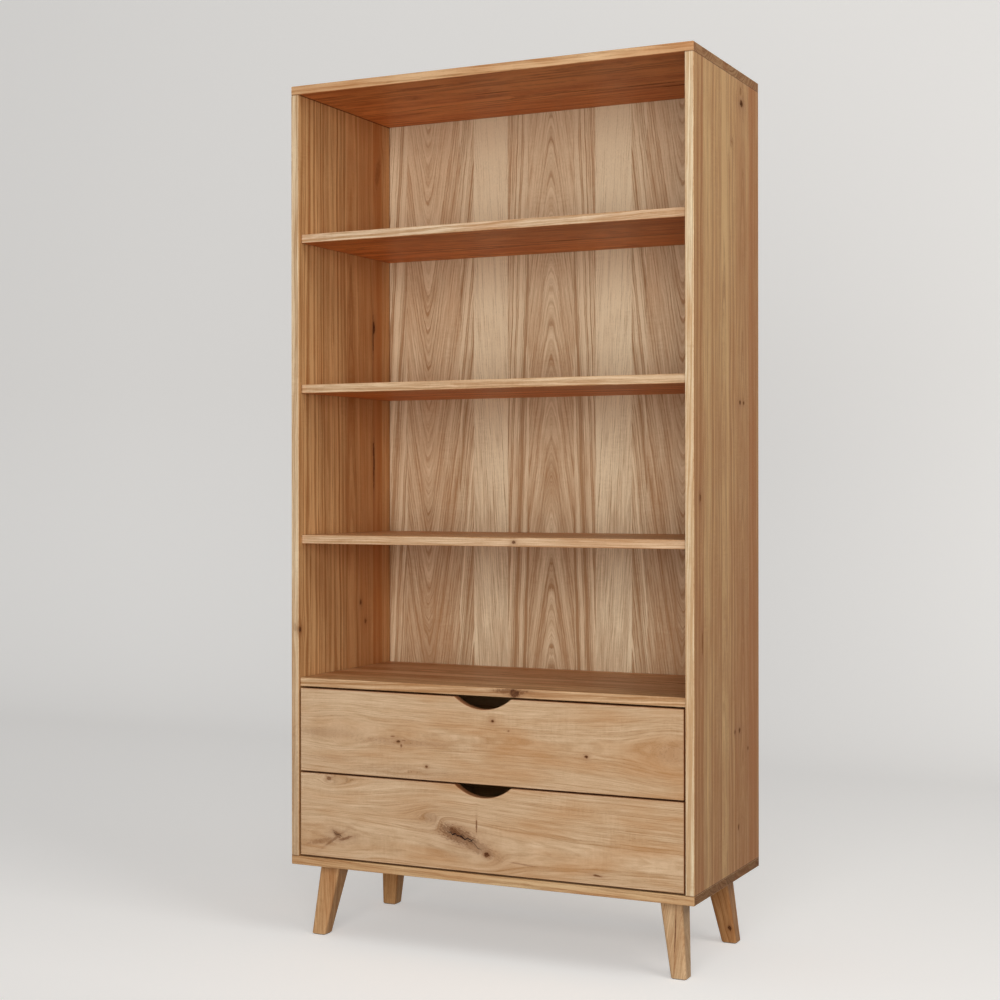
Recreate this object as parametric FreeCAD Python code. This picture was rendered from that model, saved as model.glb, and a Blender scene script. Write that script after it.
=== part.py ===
import FreeCAD, Part
import math
import os

# A free-standing oak bookcase on splayed legs, with two drawers under four open compartments.
# Millimetres. +Z is up, the front faces -Y, and the origin is the middle of the footprint on the floor.

V = FreeCAD.Vector
X_AXIS = V(1, 0, 0)
Y_AXIS = V(0, 1, 0)
Z_AXIS = V(0, 0, 1)
CENTRE = V(0, 0, 0)

# Overall size
overall_width = 1000.0
overall_depth = 450.0
overall_height = 2000.0
floor_clearance = 170.0        # floor to the underside of the bottom panel

# Carcass boards
side_thickness = 20.0
top_thickness = 20.0
bottom_thickness = 20.0
shelf_thickness = 20.0
divider_thickness = 20.0
arris = 1.0                    # chamfer that takes the sharpness off an exposed edge

# Spacing inside, upwards from the bottom panel; the last compartment takes what is left
drawer_space = 399.0
compartment_heights = (315.0, 334.0, 334.0)
shelf_setback = 13.0           # behind the front edges of the sides
divider_setback = 6.0

# Joinery of the carcass
shelf_tongue_length = 5.0      # groove in the side for the tongue at each end of a shelf
shelf_tongue_thickness = 10.0  # the lower half of the shelf, so its upper face ends at the side
shelf_tongue_stop = 12.0       # the tongue ends this far behind the shelf's front edge
tongue_length = 8.0            # the ends of the sides run into the top and bottom panels
tongue_thickness = 10.0
tongue_stop = 15.0             # the tongue ends this far from the front and rear edges
glue_gap = 0.5                 # room left at the bottom of a groove
groove_clearance = 0.1         # each side of a panel that stands in a groove

# Back panel, in a groove all round
back_thickness = 8.0
back_inset = 5.0               # behind it the boards stand out to meet the wall
back_groove_depth = 8.0

# Legs, each a square taper that leans outwards both ways
leg_top_width = 53.0
leg_foot_width = 36.0
leg_edge_radius = 6.0
leg_side_inset = 74.0          # middle of the leg's top, from the end of the carcass
leg_face_inset = 81.0          # middle of the leg's top, from the front or rear
leg_splay_sideways = 24.0      # how far the foot stands out from under the leg's top
leg_splay_fore_aft = 26.0
pad_width = 32.0
pad_thickness = 2.5

# Leg fixing: a bolt in the leg's top that screws into an insert in the bottom panel
bolt_radius = 4.0
bolt_depth_in_leg = 28.0
bolt_end_gap = 1.0
insert_radius = 6.0
insert_length = 13.0
thread_clearance = 0.05
bolt_sides = 12                # bolts, inserts and their holes are many-sided bars, to keep them light

# Drawer fronts
drawer_count = 2
front_thickness = 20.0
front_setback = 2.0
front_gap = 4.0
scoop_width = 140.0
scoop_depth = 26.0

# Drawer boxes, dovetailed at the four corners
box_height = 140.0
box_wall = 14.0
box_lift = 12.0                # lower edge of the box above the lower edge of its front
tail_count = 4
tail_width = 24.0              # at its wide end
tail_slope = 1.0 / 6.0
box_bottom_thickness = 6.0
box_groove_depth = 6.0
box_groove_lift = 10.0

# Ball slides: three rails of bent sheet, one inside the other, with a row of balls at each edge
slide_width = 12.7
rail_height = 45.0
rail_sheet = 1.0
rail_bend = 1.5                # mid-line radius where a web turns into a flange
hook_bend = 0.8                # mid-line radius of the drawer rail's hook
rail_front_clearance = 1.0     # behind the drawer front
rail_rear_clearance = 14.0     # in front of the back panel
rail_lift = 55.0               # middle of the slide above the lower edge of the box
middle_web_offset = 3.0        # middle rail's web from the carcass side
ball_radius = 1.6
ball_play = 0.1
ball_stagger = 1.3             # the outer row stands this far in front of the inner row
outer_race_turn = 70.0         # how far each race wraps its balls, in degrees
middle_race_turn = 80.0

# Ball cages
cage_sheet = 0.6
cage_end_margin = 10.0         # left between a cage and the end of its run
cage_bend = 0.8
cage_web_offset = 4.15         # inner cage's web from the carcass side
cage_lean = 27.0               # how far the edges of the inner cage lean from its web, in degrees
cage_wall_gap = 0.6            # outer cage from the cabinet rail's web
outer_finger_reach = 1.3       # past the middle of the balls
inner_finger_reach = 1.2
balls_per_row = 6

# Small wood screws
screw_sides = 8                # fewer still, because the screw is repeated so often
screw_radius = 1.8
screw_head_radius = 3.6
pilot_clearance = 0.05
pilot_end_gap = 1.0
rail_screw_length = 11.0
rail_screw_head = 1.2
rail_screw_inset = 35.0        # from each end of the rail
front_screw_length = 28.0
front_screw_head = 2.2
front_screw_side_inset = 120.0  # from the outside of the box
front_screw_edge_inset = 35.0  # from the upper and lower edges of the box

# Places that follow from the sizes above
left_x = -overall_width / 2
front_y = -overall_depth / 2
rear_y = overall_depth / 2
side_inner_x = left_x + side_thickness
floor_board_z = floor_clearance + bottom_thickness
top_under_z = overall_height - top_thickness
back_rear_y = rear_y - back_inset
back_front_y = back_rear_y - back_thickness
divider_z = floor_board_z + drawer_space

front_height = (drawer_space - (drawer_count + 1) * front_gap) / drawer_count
front_face_y = front_y + front_setback
box_front_y = front_face_y + front_thickness
rail_front_y = box_front_y + rail_front_clearance
rail_length = back_front_y - rail_rear_clearance - rail_front_y
slide_travel = rail_length     # full extension
box_rear_y = box_front_y + rail_length
box_left_x = side_inner_x + slide_width

race_radius = ball_radius + ball_play + rail_sheet / 2
outer_ball_z = rail_height / 2 - rail_sheet / 2 - race_radius
inner_ball_z = outer_ball_z - 2 * race_radius
inner_ball_u = middle_web_offset + race_radius
outer_ball_u = inner_ball_u + ball_stagger
pocket_half = ball_radius + ball_play
cage_length = slide_travel / 2 - 2 * cage_end_margin
cage_front_y = rail_front_y + rail_length / 2 - slide_travel / 4 + cage_end_margin


# ---------------------------------------------------------------- shared shapes

def block(x0, x1, y0, y1, z0, z1):
    """Box between two opposite corners."""
    return Part.makeBox(x1 - x0, y1 - y0, z1 - z0, V(x0, y0, z0))


def edges_along(solid, axis):
    """Straight edges that run parallel to an axis."""
    return [e for e in solid.Edges if abs(e.tangentAt(e.FirstParameter).dot(axis)) > 0.999]


def eased(solid, *axes):
    """Take the arris off every edge that runs along the named axes."""
    edges = [e for axis in axes for e in edges_along(solid, axis)]
    return solid.makeChamfer(arris, edges)


def to_right(shape):
    """The right-hand twin of a left-hand piece."""
    return shape.mirror(CENTRE, X_AXIS)


def to_rear(shape):
    """The rear twin of a front piece."""
    return shape.mirror(CENTRE, Y_AXIS)


def save(node, *solids):
    """Write one node; several solids share it as a group."""
    shape = solids[0] if len(solids) == 1 else Part.makeCompound(list(solids))
    shape.exportStep("parts/" + node + ".step")


# ---------------------------------------------------------------- fasteners

def many_sided_bar(sides, radius, point, direction, length):
    """Prism that stands for a round bar, from a point along a direction."""
    corners = []
    for i in range(sides + 1):
        angle = 2 * math.pi * i / sides
        corners.append(V(radius * math.cos(angle), radius * math.sin(angle), 0))
    bar = Part.Face(Part.makePolygon(corners)).extrude(V(0, 0, length))
    bar.Placement = FreeCAD.Placement(point, FreeCAD.Rotation(Z_AXIS, direction))
    return bar


def wood_screw(point, direction, length, head_height):
    """Screw whose head rests on a surface at the point and whose shank runs along the direction."""
    shank = many_sided_bar(screw_sides, screw_radius, point, direction, length)
    head = many_sided_bar(screw_sides, screw_head_radius, point, direction * -1, head_height)
    return shank.fuse(head)


def pilot_hole(point, direction, length):
    """Room for the shank of such a screw, a little deeper than the screw is long."""
    radius = screw_radius + pilot_clearance
    return many_sided_bar(screw_sides, radius, point, direction, length + pilot_end_gap)


# ---------------------------------------------------------------- bent sheet

def bent_strip(start, heading, moves, sheet, y0, length):
    """Extruded strip of bent sheet, drawn along its mid line in the u-z plane.

    A move is (run,) for a straight run, or (radius, turn) for a bend of so many degrees, positive to
    the left. Both faces of the sheet are the mid line moved sideways by half the sheet's thickness.
    """
    u, z = start
    angle = math.radians(heading)
    half = sheet / 2
    left_edges = []
    right_edges = []

    def beside(pu, pz, direction, offset):
        return V(pu - offset * math.sin(direction), y0, pz + offset * math.cos(direction))

    first = (beside(u, z, angle, half), beside(u, z, angle, -half))
    for move in moves:
        begin = (beside(u, z, angle, half), beside(u, z, angle, -half))
        if len(move) == 1:
            u += move[0] * math.cos(angle)
            z += move[0] * math.sin(angle)
            end = (beside(u, z, angle, half), beside(u, z, angle, -half))
            left_edges.append(Part.makeLine(begin[0], end[0]))
            right_edges.append(Part.makeLine(begin[1], end[1]))
        else:
            radius, turn = move
            side = math.copysign(1, turn)
            centre_u = u - side * radius * math.sin(angle)
            centre_z = z + side * radius * math.cos(angle)
            stations = []
            for share in (0.5, 1.0):
                swung = angle + math.radians(turn) * share
                pu = centre_u + side * radius * math.sin(swung)
                pz = centre_z - side * radius * math.cos(swung)
                stations.append((pu, pz, swung))
            middle = [beside(*stations[0], offset) for offset in (half, -half)]
            end = [beside(*stations[1], offset) for offset in (half, -half)]
            left_edges.append(Part.Arc(begin[0], middle[0], end[0]).toShape())
            right_edges.append(Part.Arc(begin[1], middle[1], end[1]).toShape())
            u, z, angle = stations[1]
    last = (beside(u, z, angle, half), beside(u, z, angle, -half))
    caps = [Part.makeLine(last[0], last[1]), Part.makeLine(first[1], first[0])]
    outline = Part.Wire(left_edges + caps[:1] + right_edges[::-1] + caps[1:])
    return Part.Face(outline).extrude(V(0, length, 0))


def channel(web_u, moves, sheet, y0, length):
    """Rail or cage that is the same above and below its middle."""
    upper = bent_strip((web_u, 0.0), 90.0, moves, sheet, y0, length)
    return upper.fuse(upper.mirror(CENTRE, Z_AXIS)).removeSplitter()


# ---------------------------------------------------------------- carcass

def shelf_levels():
    """Undersides of the divider and the shelves, and each one's thickness and setback."""
    levels = [(divider_z, divider_thickness, divider_setback)]
    z = divider_z + divider_thickness
    for height in compartment_heights:
        z += height
        levels.append((z, shelf_thickness, shelf_setback))
        z += shelf_thickness
    return levels


def shelf_tongues(level, length):
    """The lower half of a shelf, long enough to enter both sides as a tongue."""
    z, thickness, setback = level
    reach = -side_inner_x + length
    y0 = front_y + setback + shelf_tongue_stop
    return block(-reach, reach, y0, back_front_y, z, z + shelf_tongue_thickness)


def shelf(level):
    """Fixed shelf: an eased board between the sides, with a tongue at each end in a stopped groove."""
    z, thickness, setback = level
    board = block(side_inner_x, -side_inner_x, front_y + setback, back_front_y, z, z + thickness)
    front_edges = [e for e in edges_along(board, X_AXIS) if e.CenterOfMass.y < 0]
    board = board.makeChamfer(arris, front_edges)
    return board.fuse(shelf_tongues(level, shelf_tongue_length - glue_gap)).removeSplitter()


def back_board(play):
    """The back panel; with play it is the room that the grooves leave for it."""
    reach_x = -side_inner_x + back_groove_depth
    reach_z = back_groove_depth
    if not play:
        reach_x -= glue_gap
        reach_z -= glue_gap
    return block(-reach_x, reach_x, back_front_y - play, back_rear_y + play,
                 floor_board_z - reach_z, top_under_z + reach_z)


def side_tongues(length):
    """Tongues at both ends of the left side, barefaced on its inner face."""
    x0 = side_inner_x - tongue_thickness
    y0 = front_y + tongue_stop
    y1 = rear_y - tongue_stop
    lower = block(x0, side_inner_x, y0, y1, floor_board_z - length, floor_board_z)
    upper = block(x0, side_inner_x, y0, y1, top_under_z, top_under_z + length)
    return lower, upper


def side_panel():
    """Left side: grooves for the shelves and the back, and pilot holes for the slides."""
    board = block(left_x, side_inner_x, front_y, rear_y, floor_board_z, top_under_z)
    board = eased(board, Z_AXIS)
    for tongue in side_tongues(tongue_length - glue_gap):
        board = board.fuse(tongue)
    board = board.removeSplitter().cut(back_board(groove_clearance))
    for level in shelf_levels():
        board = board.cut(shelf_tongues(level, shelf_tongue_length))
    for z in slide_heights():
        for point in rail_screw_points(side_inner_x + rail_sheet, z):
            board = board.cut(pilot_hole(point, X_AXIS * -1, rail_screw_length))
    return board


def end_panel(z0, z1):
    """Top or bottom panel: grooves on its inner face for the sides' tongues and for the back."""
    board = block(left_x, -left_x, front_y, rear_y, z0, z1)
    board = eased(board, X_AXIS, Y_AXIS, Z_AXIS)
    for tongue in side_tongues(tongue_length):
        board = board.cut(tongue).cut(to_right(tongue))
    return board.cut(back_board(groove_clearance))


def make_carcass():
    """Boards that stay put."""
    bottom = end_panel(floor_clearance, floor_board_z)
    insert_room = leg_fixing_bar(insert_radius + thread_clearance, 0.0, insert_length + bolt_end_gap)
    for hole in all_corners(insert_room):
        bottom = bottom.cut(hole)
    left = side_panel()
    save("bottom_panel", bottom)
    save("top_panel", end_panel(top_under_z, overall_height))
    save("side_left", left)
    save("side_right", to_right(left))
    save("back_panel", back_board(0.0))
    names = ("divider_shelf", "shelf_lower", "shelf_middle", "shelf_upper")
    for name, level in zip(names, shelf_levels()):
        save(name, shelf(level))


# ---------------------------------------------------------------- legs

leg_x = left_x + leg_side_inset
leg_y = front_y + leg_face_inset
foot_x = leg_x - leg_splay_sideways
foot_y = leg_y - leg_splay_fore_aft


def all_corners(shape):
    """A front left piece and its three twins: front left, front right, rear left, rear right."""
    return [shape, to_right(shape), to_rear(shape), to_rear(to_right(shape))]


def leg_fixing_bar(radius, below, above):
    """Upright bar on the front left leg's bolt axis, from below the bottom panel's underside to above it."""
    foot_end = V(leg_x, leg_y, floor_clearance - below)
    return many_sided_bar(bolt_sides, radius, foot_end, Z_AXIS, below + above)


def level_square(x, y, z, width):
    """Corners of a level square about a point."""
    half = width / 2
    signs = [(-1, -1), (1, -1), (1, 1), (-1, 1)]
    return [V(x + half * sx, y + half * sy, z) for sx, sy in signs]


def leaning_taper(lower, upper):
    """Solid between two level squares, with four flat sides; each outline is drawn to face outwards."""
    outlines = [lower[::-1], upper]
    for i in range(4):
        j = (i + 1) % 4
        outlines.append([lower[i], lower[j], upper[j], upper[i]])
    faces = [Part.Face(Part.makePolygon(corners + corners[:1])) for corners in outlines]
    return Part.Solid(Part.makeShell(faces))


def front_left_leg():
    """Leg: a straight taper from the top to the smaller foot, with rounded edges, bored for its bolt."""
    foot = level_square(foot_x, foot_y, pad_thickness, leg_foot_width)
    top = level_square(leg_x, leg_y, floor_clearance, leg_top_width)
    leg = leaning_taper(foot, top)
    upright_edges = [e for e in leg.Edges if e.BoundBox.ZLength > pad_thickness]
    leg = leg.makeFillet(leg_edge_radius, upright_edges)
    return leg.cut(leg_fixing_bar(bolt_radius + thread_clearance, bolt_depth_in_leg + bolt_end_gap, 0.0))


def felt_pad():
    """Felt pad under the front left foot."""
    half = pad_width / 2
    return block(foot_x - half, foot_x + half, foot_y - half, foot_y + half, 0.0, pad_thickness)


def make_legs():
    """Legs, their fixings and their pads."""
    names = ("leg_front_left", "leg_front_right", "leg_rear_left", "leg_rear_right")
    for name, leg in zip(names, all_corners(front_left_leg())):
        save(name, leg)
    bolt = leg_fixing_bar(bolt_radius, bolt_depth_in_leg, insert_length - bolt_end_gap)
    insert = leg_fixing_bar(insert_radius, 0.0, insert_length)
    insert = insert.cut(leg_fixing_bar(bolt_radius + thread_clearance, 0.0, insert_length))
    save("leg_bolts", *all_corners(bolt))
    save("leg_inserts", *all_corners(insert))
    save("felt_pads", *all_corners(felt_pad()))


# ---------------------------------------------------------------- drawers

def front_bottom_z(index):
    """Lower edge of a drawer front, counted from the lowest drawer."""
    return floor_board_z + front_gap + index * (front_height + front_gap)


def box_bottom_z(index):
    """Lower edge of a drawer box."""
    return front_bottom_z(index) + box_lift


def drawer_front(index):
    """Board with a shallow round scoop in the middle of its top edge, eased all round."""
    z0 = front_bottom_z(index)
    z1 = z0 + front_height
    x0 = side_inner_x + front_gap
    board = block(x0, -x0, front_face_y, box_front_y, z0, z1)
    radius = ((scoop_width / 2) ** 2 + scoop_depth ** 2) / (2 * scoop_depth)
    cutter = Part.makeCylinder(radius, front_thickness, V(0, front_face_y, z1 - scoop_depth + radius), Y_AXIS)
    board = board.cut(cutter)
    board = board.makeChamfer(arris, board.Edges)
    for point in front_screw_points(index):
        board = board.cut(pilot_hole(point, Y_AXIS * -1, front_screw_length))
    return board


def tails(index):
    """Dovetails at both ends of the left box side, as one row of flared prisms at each end."""
    pitch = box_height / tail_count
    flare = box_wall * tail_slope
    prisms = []
    for end_y, inward in ((box_front_y, 1), (box_rear_y, -1)):
        root_y = end_y + inward * box_wall
        for i in range(tail_count):
            z = box_bottom_z(index) + (i + 0.5) * pitch
            wide = tail_width / 2
            narrow = wide - flare
            corners = [V(box_left_x, end_y, z - wide), V(box_left_x, root_y, z - narrow),
                       V(box_left_x, root_y, z + narrow), V(box_left_x, end_y, z + wide)]
            face = Part.Face(Part.makePolygon(corners + corners[:1]))
            prisms.append(face.extrude(V(box_wall, 0, 0)))
    return prisms


def box_floor(index, play):
    """The thin drawer bottom; with play it is the room that its groove leaves."""
    reach = box_groove_depth - (0.0 if play else glue_gap)
    x = box_left_x + box_wall - reach
    z = box_bottom_z(index) + box_groove_lift
    return block(x, -x, box_front_y + box_wall - reach, box_rear_y - box_wall + reach,
                 z - play, z + box_bottom_thickness + play)


def box_side(index):
    """Left side of the box, with its tails, the groove and pilot holes for its rail."""
    z0 = box_bottom_z(index)
    side = block(box_left_x, box_left_x + box_wall, box_front_y + box_wall, box_rear_y - box_wall,
                 z0, z0 + box_height)
    side = side.multiFuse(tails(index)).removeSplitter()
    side = side.cut(box_floor(index, groove_clearance))
    for point in rail_screw_points(box_left_x - rail_sheet, slide_height(index)):
        side = side.cut(pilot_hole(point, X_AXIS, rail_screw_length))
    return side


def box_end(index, y0, bored):
    """Front or back of the box: a board with sockets cut by the tails."""
    z0 = box_bottom_z(index)
    board = block(box_left_x, -box_left_x, y0, y0 + box_wall, z0, z0 + box_height)
    for tail in tails(index):
        board = board.cut(tail).cut(to_right(tail))
    board = board.cut(box_floor(index, groove_clearance))
    if bored:
        for point in front_screw_points(index):
            board = board.cut(pilot_hole(point, Y_AXIS * -1, front_screw_length))
    return board


def front_screw_points(index):
    """Where the four screws enter the inside of the box to hold its front."""
    x = box_left_x + front_screw_side_inset
    z0 = box_bottom_z(index)
    heights = (z0 + front_screw_edge_inset, z0 + box_height - front_screw_edge_inset)
    return [V(side * x, box_front_y + box_wall, z) for side in (1, -1) for z in heights]


def make_drawer(name, index):
    """Front, box and the screws between them."""
    side = box_side(index)
    save(name + "_front", drawer_front(index))
    save(name + "_box_front", box_end(index, box_front_y, True))
    save(name + "_box_back", box_end(index, box_rear_y - box_wall, False))
    save(name + "_box_left", side)
    save(name + "_box_right", to_right(side))
    save(name + "_box_bottom", box_floor(index, 0.0))
    screws = []
    for point in front_screw_points(index):
        screws.append(wood_screw(point, Y_AXIS * -1, front_screw_length, front_screw_head))
    save(name + "_front_screws", *screws)


# ---------------------------------------------------------------- ball slides

def slide_height(index):
    """Middle of a drawer's slides above the floor."""
    return box_bottom_z(index) + rail_lift


def slide_heights():
    return [slide_height(index) for index in range(drawer_count)]


def rail_screw_points(x, z):
    """Two points along a rail where a screw goes through its web."""
    return [V(x, rail_front_y + rail_screw_inset, z), V(x, rail_front_y + rail_length - rail_screw_inset, z)]


def cabinet_rail():
    """Outer rail: the flange is flat over the balls and curls down in front of them."""
    moves = [
        (outer_ball_z + race_radius - rail_bend,),
        (rail_bend, -90.0),
        (outer_ball_u - rail_sheet / 2 - rail_bend,),
        (race_radius, -outer_race_turn),
    ]
    return channel(rail_sheet / 2, moves, rail_sheet, rail_front_y, rail_length)


def middle_rail():
    """Middle rail: one S-shaped flange is the race of the inner balls and of the outer balls."""
    moves = [
        (inner_ball_z,),
        (race_radius, -90.0),
        (ball_stagger,),
        (race_radius, middle_race_turn),
    ]
    return channel(middle_web_offset, moves, rail_sheet, rail_front_y, rail_length)


def drawer_rail():
    """Inner rail, open towards the carcass, with a hook that runs under the inner balls."""
    web_u = slide_width - rail_sheet / 2
    moves = [
        (inner_ball_z + hook_bend - rail_bend,),
        (rail_bend, 90.0),
        (web_u - rail_bend - inner_ball_u - race_radius - hook_bend,),
        (hook_bend, 90.0),
        (race_radius, -90.0),
    ]
    return channel(web_u, moves, rail_sheet, rail_front_y, rail_length)


def ball_stations():
    """Places of the balls along a cage."""
    pitch = cage_length / balls_per_row
    return [cage_front_y + (i + 0.5) * pitch for i in range(balls_per_row)]


def outer_cage():
    """Two combs between the cabinet rail and the middle rail, one for each row of balls."""
    u0 = rail_sheet + cage_wall_gap
    u1 = outer_ball_u + outer_finger_reach
    half = cage_sheet / 2
    comb = block(u0, u1, cage_front_y, cage_front_y + cage_length, outer_ball_z - half, outer_ball_z + half)
    for y in ball_stations():
        comb = comb.cut(block(outer_ball_u - pocket_half, u1, y - pocket_half, y + pocket_half,
                              outer_ball_z - half, outer_ball_z + half))
    return [comb, comb.mirror(CENTRE, Z_AXIS)]


def inner_cage():
    """Channel inside the middle rail, whose slanted edges have a slot for each ball."""
    lean = math.radians(cage_lean)
    slant = (inner_ball_u - cage_web_offset) / math.sin(lean)
    tangent = cage_bend * math.tan(lean / 2)
    moves = [
        (inner_ball_z - slant * math.cos(lean) - tangent,),
        (cage_bend, -cage_lean),
        (slant + inner_finger_reach - tangent,),
    ]
    cage = channel(cage_web_offset, moves, cage_sheet, cage_front_y, cage_length)
    for y in ball_stations():
        slot = block(cage_web_offset - cage_sheet, inner_ball_u + pocket_half,
                     y - pocket_half, y + pocket_half,
                     inner_ball_z - pocket_half, inner_ball_z + pocket_half)
        cage = cage.cut(slot).cut(slot.mirror(CENTRE, Z_AXIS))
    return [cage]


def bored_rail(rail, web_u):
    """A rail with a hole for each of its screws."""
    for point in rail_screw_points(web_u - rail_sheet, 0.0):
        rail = rail.cut(pilot_hole(point, X_AXIS, 2 * rail_sheet))
    return rail


def make_slides(name, index):
    """Left and right slides of one drawer; they are drawn at the carcass side, about their own middle."""
    place = V(side_inner_x, 0, slide_height(index))
    pieces = {
        "cabinet_rail": [bored_rail(cabinet_rail(), rail_sheet / 2)],
        "middle_rail": [middle_rail()],
        "drawer_rail": [bored_rail(drawer_rail(), slide_width - rail_sheet / 2)],
        "outer_cage": outer_cage(),
        "inner_cage": inner_cage(),
    }
    for piece, solids in pieces.items():
        left = [solid.translated(place) for solid in solids]
        save(name + "_left_" + piece, *left)
        save(name + "_right_" + piece, *[to_right(solid) for solid in left])


def make_rail_screws(names):
    """Screws through the cabinet rails into the sides, and through the drawer rails into the boxes."""
    in_carcass = []
    for index, name in enumerate(names):
        z = slide_height(index)
        in_box = []
        for point in rail_screw_points(side_inner_x + rail_sheet, z):
            in_carcass.append(wood_screw(point, X_AXIS * -1, rail_screw_length, rail_screw_head))
        for point in rail_screw_points(box_left_x - rail_sheet, z):
            in_box.append(wood_screw(point, X_AXIS, rail_screw_length, rail_screw_head))
        save(name + "_rail_screws", *(in_box + [to_right(screw) for screw in in_box]))
    save("carcass_rail_screws", *(in_carcass + [to_right(screw) for screw in in_carcass]))


os.makedirs("parts", exist_ok=True)
make_carcass()
make_legs()
drawer_names = ("lower", "upper")
for drawer_index, drawer_name in enumerate(drawer_names):
    make_drawer(drawer_name, drawer_index)
    make_slides(drawer_name, drawer_index)
make_rail_screws(drawer_names)
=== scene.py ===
import math

import bpy
import numpy as np
from mathutils import Matrix, Vector


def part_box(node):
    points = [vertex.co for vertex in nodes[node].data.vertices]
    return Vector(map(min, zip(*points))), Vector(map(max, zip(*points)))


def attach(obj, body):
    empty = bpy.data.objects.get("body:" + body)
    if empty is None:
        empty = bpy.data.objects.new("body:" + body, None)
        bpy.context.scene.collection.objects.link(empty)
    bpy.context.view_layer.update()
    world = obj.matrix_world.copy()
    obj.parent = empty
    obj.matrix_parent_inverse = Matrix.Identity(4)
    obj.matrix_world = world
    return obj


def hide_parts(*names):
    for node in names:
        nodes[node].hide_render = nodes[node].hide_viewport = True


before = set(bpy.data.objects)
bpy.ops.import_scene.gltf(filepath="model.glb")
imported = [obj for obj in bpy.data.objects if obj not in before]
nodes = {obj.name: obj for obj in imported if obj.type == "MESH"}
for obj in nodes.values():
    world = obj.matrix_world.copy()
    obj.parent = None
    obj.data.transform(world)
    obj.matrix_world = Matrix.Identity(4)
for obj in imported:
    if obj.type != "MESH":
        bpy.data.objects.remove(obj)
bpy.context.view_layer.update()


# ------------------------ room
# A pale floor that sweeps up into a backdrop, a broad soft lamp in front, a weak one on the right, one at
# the rear that lights the bookcase alone, and a camera on the right at middle height. None of it belongs to
# the object.

class Wire:
    """An output of a node. Arithmetic with it adds the node that works out the result, in the same tree."""

    def __init__(self, node, key=0):
        self.socket = node.outputs[key]
        self.tree = node.id_data

    def __add__(self, other):
        return calc("ADD", self, other)

    def __sub__(self, other):
        return calc("SUBTRACT", self, other)

    def __mul__(self, other):
        return calc("MULTIPLY", self, other)

    def __truediv__(self, other):
        return calc("DIVIDE", self, other)

    def __abs__(self):
        return calc("ABSOLUTE", self)


def feed(socket, value):
    """Links a wire to an input, or sets the input to a number, a place or a colour."""
    if isinstance(value, Wire):
        value.tree.links.new(value.socket, socket)
    elif socket.type == "RGBA":
        socket.default_value = (*value, 1.0)
    else:
        socket.default_value = value


def add_node(tree, kind, inputs=(), **options):
    """Adds a node of a kind, sets its options and feeds its inputs, each by its name or number."""
    node = tree.nodes.new("ShaderNode" + kind)
    for option, value in options.items():
        setattr(node, option, value)
    for key, value in dict(inputs).items():
        feed(node.inputs[key], value)
    return node


def calc(operation, *values):
    """The result of one step of arithmetic on numbers and wires."""
    tree = next(value.tree for value in values if isinstance(value, Wire))
    return Wire(add_node(tree, "Math", enumerate(values), operation=operation))


def apart(place):
    """The x, y and z of a place or a direction, each by its letter."""
    node = add_node(place.tree, "SeparateXYZ", {0: place})
    return {axis: Wire(node, axis) for axis in "XYZ"}


def object_place(tree):
    """The place of each point in its object's own coordinates, in metres."""
    return Wire(add_node(tree, "TexCoord"), "Object")


FIRST_COLOUR = 6
SECOND_COLOUR = 7
MIXED_COLOUR = 2


def blend_colour(share, a, b, blend="MIX"):
    """Colour a turning into colour b as the share goes from 0 to 1. The colour sockets are fed by number,
    because the node has others with the same names."""
    node = add_node(share.tree, "Mix", data_type="RGBA", blend_type=blend)
    for key, value in (("Factor", share), (FIRST_COLOUR, a), (SECOND_COLOUR, b)):
        feed(node.inputs[key], value)
    return Wire(node, MIXED_COLOUR)


def new_material(name, roughness, specular=0.5, metallic=0.0):
    """A material whose plain values sit on the shader itself; gives it, its node tree and its shader."""
    material = bpy.data.materials.new(name)
    material.use_nodes = True
    shader = material.node_tree.nodes["Principled BSDF"]
    plain = {"Roughness": roughness, "Specular IOR Level": specular, "Metallic": metallic}
    for title, value in plain.items():
        feed(shader.inputs[title], value)
    return material, material.node_tree, shader


def grid_mesh(name, points, faces):
    """Puts arrays of vertices and faces into a mesh and its object."""
    mesh = bpy.data.meshes.new(name)
    mesh.from_pydata(points.tolist(), [], [tuple(int(i) for i in face) for face in faces])
    mesh.polygons.foreach_set("use_smooth", [True] * len(mesh.polygons))
    mesh.update()
    piece = bpy.data.objects.new(name, mesh)
    bpy.context.scene.collection.objects.link(piece)
    return piece


def sweep_faces(rows, columns, closed):
    """Quads between neighbours on a grid of points; closed joins the last column to the first."""
    steps = columns if closed else columns - 1
    row, column = np.meshgrid(np.arange(rows - 1), np.arange(steps), indexing="ij")
    beside = (column + 1) % columns
    corners = (row * columns + column, row * columns + beside,
               (row + 1) * columns + beside, (row + 1) * columns + column)
    return np.stack([c.ravel() for c in corners], -1)


def backdrop_points(half_width, near, far, bend, height):
    """Floor, quarter circle and wall: a profile in y and z, carried along x.

    The profile runs level from near to the bend, turns through 90 degrees about (far - bend, bend), and
    climbs to the height.
    """
    turn = np.linspace(0, math.pi / 2, 17)
    y = np.concatenate([[near], far - bend + bend * np.sin(turn), [far]])
    z = np.concatenate([[0.0], bend - bend * np.cos(turn), [height]])
    x = np.array([half_width, -half_width])
    points = np.stack([np.tile(x, len(y)), np.repeat(y, 2), np.repeat(z, 2)], -1)
    return points, sweep_faces(len(y), 2, False)


BACKDROP_GLOW = 0.36
GLOW_COLOUR = (1.0, 0.985, 0.965)
PALE_PAINT = (0.80, 0.79, 0.77)
PAINT_UNDER_LAMP = (0.18, 0.178, 0.174)
PAINT_FOR_BOUNCES = (0.30, 0.26, 0.23)
UNDER_LAMP_FROM = -0.7
UNDER_LAMP_TO = -3.6

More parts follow.
